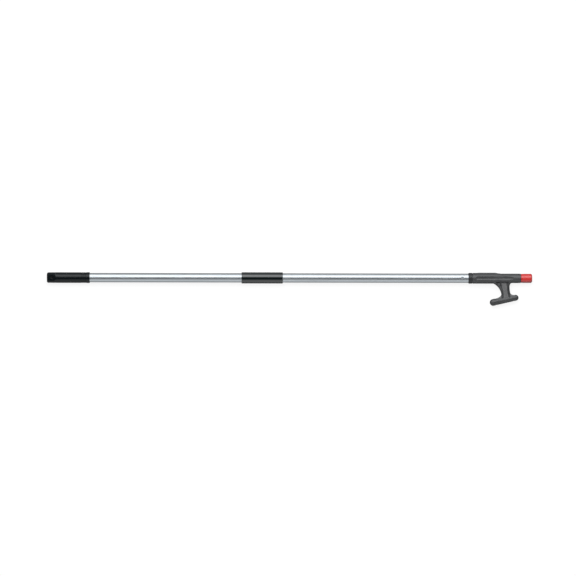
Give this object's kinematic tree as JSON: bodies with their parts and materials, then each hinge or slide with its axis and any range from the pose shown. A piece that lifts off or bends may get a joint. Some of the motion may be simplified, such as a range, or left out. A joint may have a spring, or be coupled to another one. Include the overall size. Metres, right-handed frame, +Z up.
{
  "type": "telescopic boat hook",
  "caption": "Aluminium pole that telescopes and locks with a twist, with a butt grip, a mid sleeve, a moulded T-shaped hook and a red tip.",
  "frame": {"origin": "bottom centre of the closed pole's bounding box, on the ground it lies on", "axes": "+X along the pole from the butt grip to the red tip, -Y the way the hook hangs, +Z up"},
  "size_m": [1.58, 0.1078, 0.0364],
  "materials": {
    "tube": "satin anodised, drawn lengthwise",
    "grip": "soft black grip, slight gloss",
    "head_nylon": "moulded glass-filled nylon, fine grain",
    "lock_nylon": "moulded nylon, smooth",
    "tip_red": "soft moulded plastic, semi-gloss",
    "seal_rubber": "moulded rubber",
    "foam": "closed-cell foam",
    "steel": "stainless"
  },
  "bodies": {
    "outer": {"outer_tube": "tube", "end_grip": "grip", "mid_grip": "grip", "guide_bushing": "lock_nylon", "wiper_ring": "seal_rubber", "butt_foam_plug": "foam"},
    "glide": {"glide_ring": "lock_nylon"},
    "inner": {"inner_tube": "tube", "cam_plug": "lock_nylon", "cam_plug_pin": "steel", "cam_washer": "steel", "cam_screw": "steel", "rear_foam_plug": "foam", "front_foam_plug": "foam", "hook_head": "head_nylon", "head_screw_1": "steel", "head_screw_2": "steel", "tip_cap": "tip_red"},
    "cam": {"cam_ring": "lock_nylon", "cam_drag_ring": "seal_rubber"}
  },
  "joints": [
    {"name": "telescope_slide", "type": "slide", "parent": "outer", "child": "glide", "axis": [1, 0, 0], "range_m": [0, 1.115]},
    {"name": "twist_lock", "type": "hinge", "parent": "glide", "child": "inner", "pos_m": [0, 0.0357, 0.0182], "axis": [1, 0, 0], "range_deg": [-30, 30]},
    {"name": "cam_follow", "type": "hinge", "parent": "inner", "child": "cam", "pos_m": [-0.616, 0.0373, 0.0182], "axis": [1, 0, 0], "range_deg": [-30, 30]}
  ],
  "couplings": [
    {"joint": "cam_follow", "follows": "twist_lock", "ratio": -1}
  ]
}
